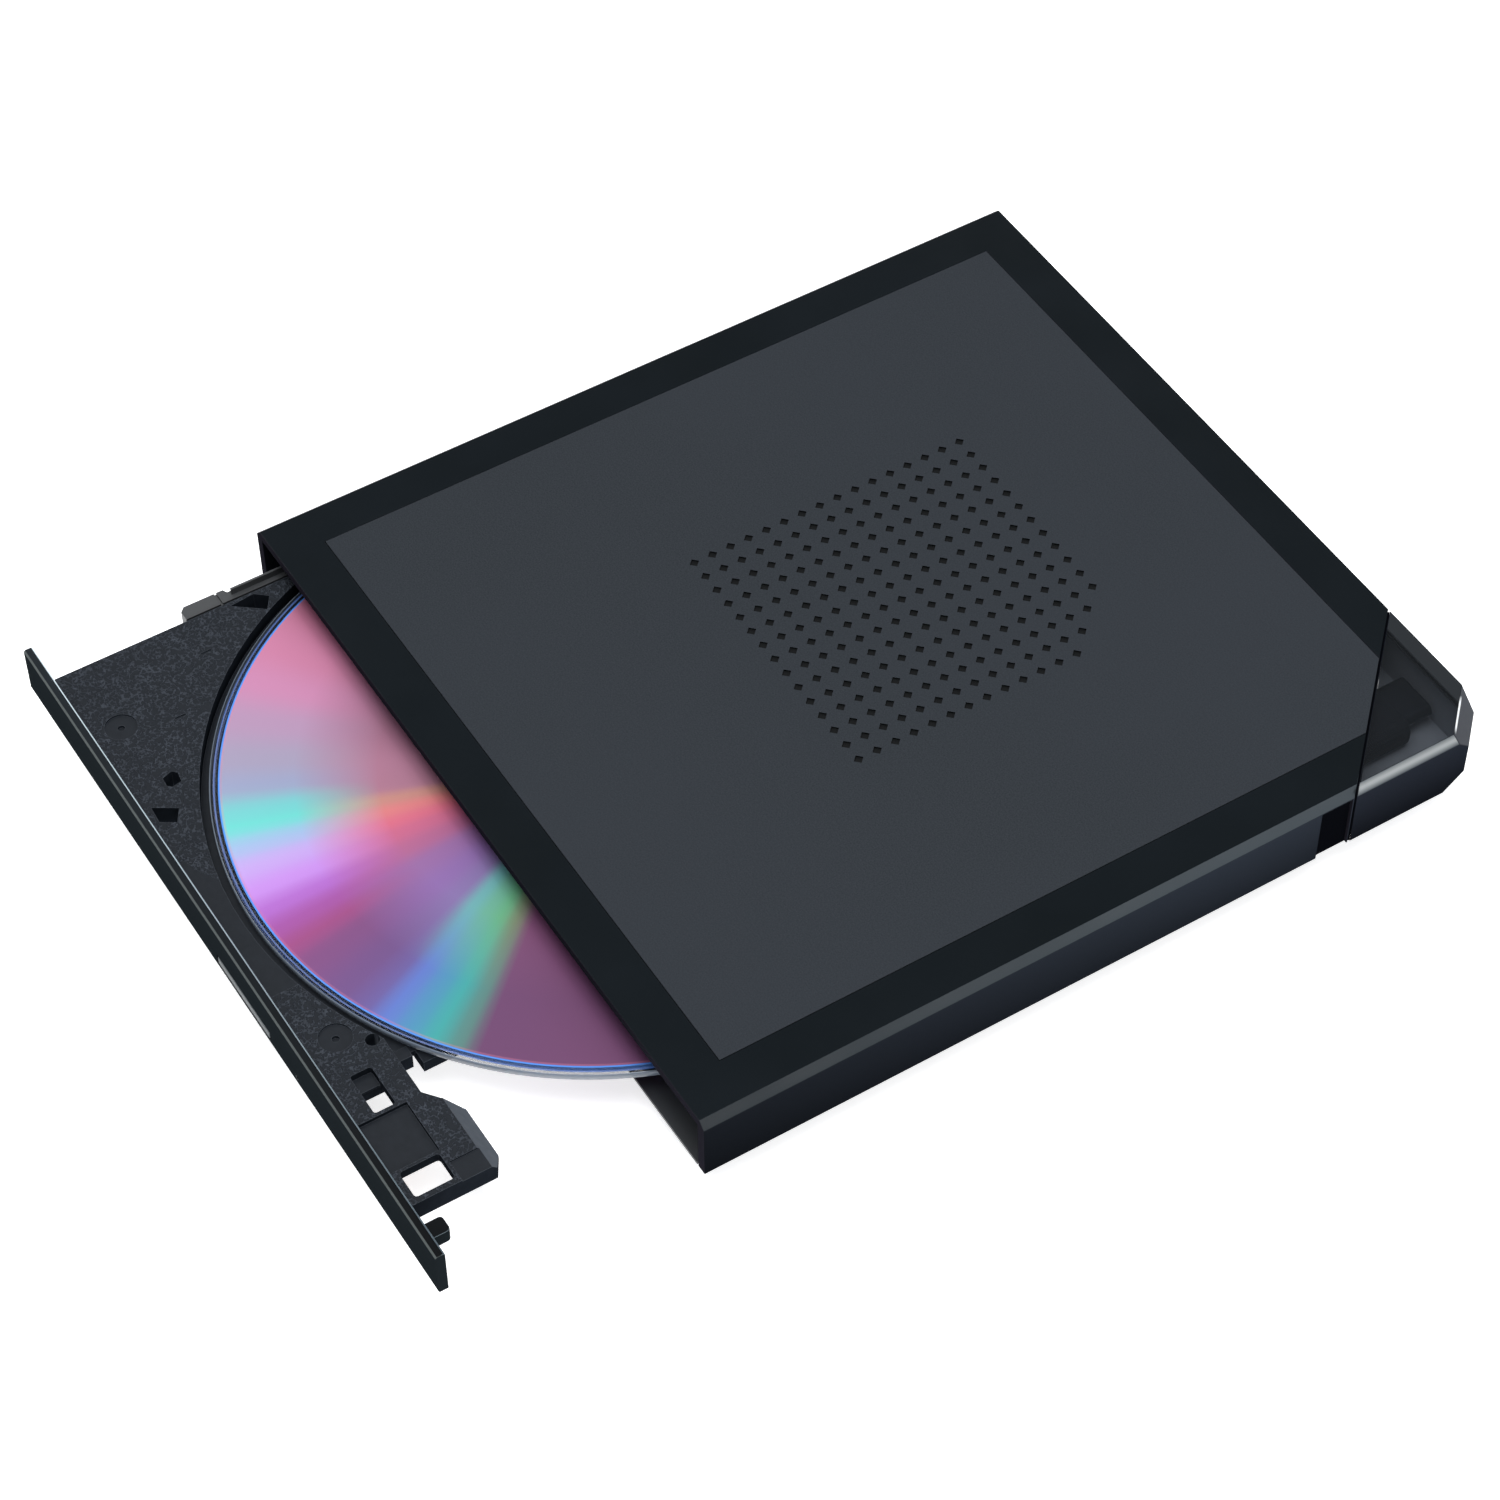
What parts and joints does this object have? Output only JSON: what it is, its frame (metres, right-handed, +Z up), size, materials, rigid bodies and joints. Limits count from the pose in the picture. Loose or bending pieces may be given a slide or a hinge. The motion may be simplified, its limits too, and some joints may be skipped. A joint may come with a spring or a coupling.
{
  "type": "slim external optical drive",
  "caption": "Slim external optical drive on a foot plate, tray part way out with a disc on its hub, USB plug and lead stowed in the case.",
  "frame": {"origin": "bottom centre of the whole object's box, on the plane of the feet, with the tray part way out", "axes": "+Z up, -Y the way the tray opens, +X to the right seen from the tray's front"},
  "size_m": [0.1376, 0.1852, 0.0174],
  "materials": {
    "gloss_black": "gloss",
    "slate_matte": "fine matte grain",
    "smoked_plastic": "smoked, clear gloss",
    "tray_plastic": "leather-like grain",
    "bezel_plastic": "satin",
    "grey_plastic": "satin",
    "white_plastic": "satin",
    "rubber": "matte",
    "sheet_steel": "rolled sheet",
    "bright_steel": "polished",
    "board_green": "solder mask",
    "chip_black": "matte",
    "copper": "lacquered wire",
    "amber_film": "polyimide film",
    "lens_glass": "clear",
    "disc_surface": "mirror-like, iridescent"
  },
  "bodies": {
    "case": {"upper_case": "gloss_black", "top_panel": "slate_matte", "lower_case": "slate_matte", "corner_cap": "smoked_plastic", "chassis": "sheet_steel", "drive_cover": "sheet_steel", "guide_rail_left": "white_plastic", "guide_rail_right": "white_plastic", "latch_post": "bright_steel", "main_board": "board_green", "main_chip": "chip_black", "flex_socket": "white_plastic", "bridge_board": "board_green", "usb_chip": "chip_black", "usb_cable": "rubber", "cable_boot": "rubber", "plug_overmould": "rubber", "plug_shell": "bright_steel", "ejector_housing": "white_plastic", "ejector_spring": "bright_steel", "flex_cable": "amber_film", "rubber_foot_1": "rubber", "rubber_foot_2": "rubber", "rubber_foot_3": "rubber", "rubber_foot_4": "rubber", "case_screw_1": "bright_steel", "case_screw_2": "bright_steel", "case_screw_3": "bright_steel", "case_screw_4": "bright_steel"},
    "tray_carriage": {"tray": "tray_plastic", "bezel": "bezel_plastic", "tray_underplate": "sheet_steel", "button_board": "board_green", "tact_switch": "bright_steel", "solenoid": "copper", "latch_spring": "bright_steel", "traverse_frame": "sheet_steel", "damper_1": "rubber", "damper_2": "rubber", "damper_3": "rubber", "guide_rod_main": "bright_steel", "guide_rod_sub": "bright_steel", "sled_motor": "bright_steel", "spindle_stator": "copper"},
    "left_runner": {"runner_left": "tray_plastic"},
    "right_runner": {"runner_right": "grey_plastic"},
    "button": {"eject_button": "grey_plastic"},
    "latch": {"latch_lever": "tray_plastic"},
    "spindle": {"turntable_hub": "bright_steel", "disc": "disc_surface"},
    "pawl_1": {"hub_pawl_1": "white_plastic"},
    "pawl_2": {"hub_pawl_2": "white_plastic"},
    "pawl_3": {"hub_pawl_3": "white_plastic"},
    "sled": {"pickup_sled": "sheet_steel"},
    "lens": {"objective_lens": "lens_glass"},
    "screw": {"lead_screw": "bright_steel"},
    "ejector": {"ejector_plunger": "white_plastic"}
  },
  "joints": [
    {"name": "tray_slide", "type": "slide", "parent": "case", "child": "tray_carriage", "axis": [0, -1, 0], "range_m": [-0.0424, 0.0856], "deforming": ["flex_cable"]},
    {"name": "runner_left_slide", "type": "slide", "parent": "case", "child": "left_runner", "axis": [0, -1, 0], "range_m": [-0.0318, 0.0642]},
    {"name": "runner_right_slide", "type": "slide", "parent": "case", "child": "right_runner", "axis": [0, -1, 0], "range_m": [-0.0318, 0.0642]},
    {"name": "eject_button_press", "type": "slide", "parent": "tray_carriage", "child": "button", "axis": [0, 1, 0], "range_m": [0, 0.0008], "stiffness_N_per_m": 900},
    {"name": "latch_turn", "type": "hinge", "parent": "tray_carriage", "child": "latch", "pos_m": [0.042, -0.0826, 0.00765], "axis": [0, 0, -1], "range_deg": [0, 12], "stiffness_Nm_per_rad": 0.002},
    {"name": "spindle_spin", "type": "hinge", "parent": "tray_carriage", "child": "spindle", "pos_m": [-0.0022, -0.0259, 0.0105], "axis": [0, 0, 1], "continuous": true},
    {"name": "sled_slide", "type": "slide", "parent": "tray_carriage", "child": "sled", "axis": [0, 1, 0], "range_m": [0, 0.0322]},
    {"name": "lead_screw_turn", "type": "hinge", "parent": "tray_carriage", "child": "screw", "pos_m": [0.0201, 0.0074, 0.0086], "axis": [0, 1, 0], "continuous": true},
    {"name": "lens_focus", "type": "slide", "parent": "sled", "child": "lens", "axis": [0, 0, 1], "range_m": [-0.0003, 0.0003], "stiffness_N_per_m": 60},
    {"name": "ejector_push", "type": "slide", "parent": "case", "child": "ejector", "axis": [0, 1, 0], "range_m": [0, 0.0012], "stiffness_N_per_m": 500, "deforming": ["ejector_spring"]},
    {"name": "hub_pawl_1_press", "type": "slide", "parent": "spindle", "child": "pawl_1", "axis": [0, -1, 0], "range_m": [0, 0.0006], "stiffness_N_per_m": 400},
    {"name": "hub_pawl_2_press", "type": "slide", "parent": "spindle", "child": "pawl_2", "axis": [0.866, 0.5, 0], "range_m": [0, 0.0006], "stiffness_N_per_m": 400},
    {"name": "hub_pawl_3_press", "type": "slide", "parent": "spindle", "child": "pawl_3", "axis": [-0.866, 0.5, 0], "range_m": [0, 0.0006], "stiffness_N_per_m": 400}
  ],
  "couplings": [
    {"joint": "runner_left_slide", "follows": "tray_slide", "ratio": 0.75},
    {"joint": "runner_right_slide", "follows": "tray_slide", "ratio": 0.75},
    {"joint": "lead_screw_turn", "follows": "sled_slide", "rad_per_m": 2094.4}
  ]
}
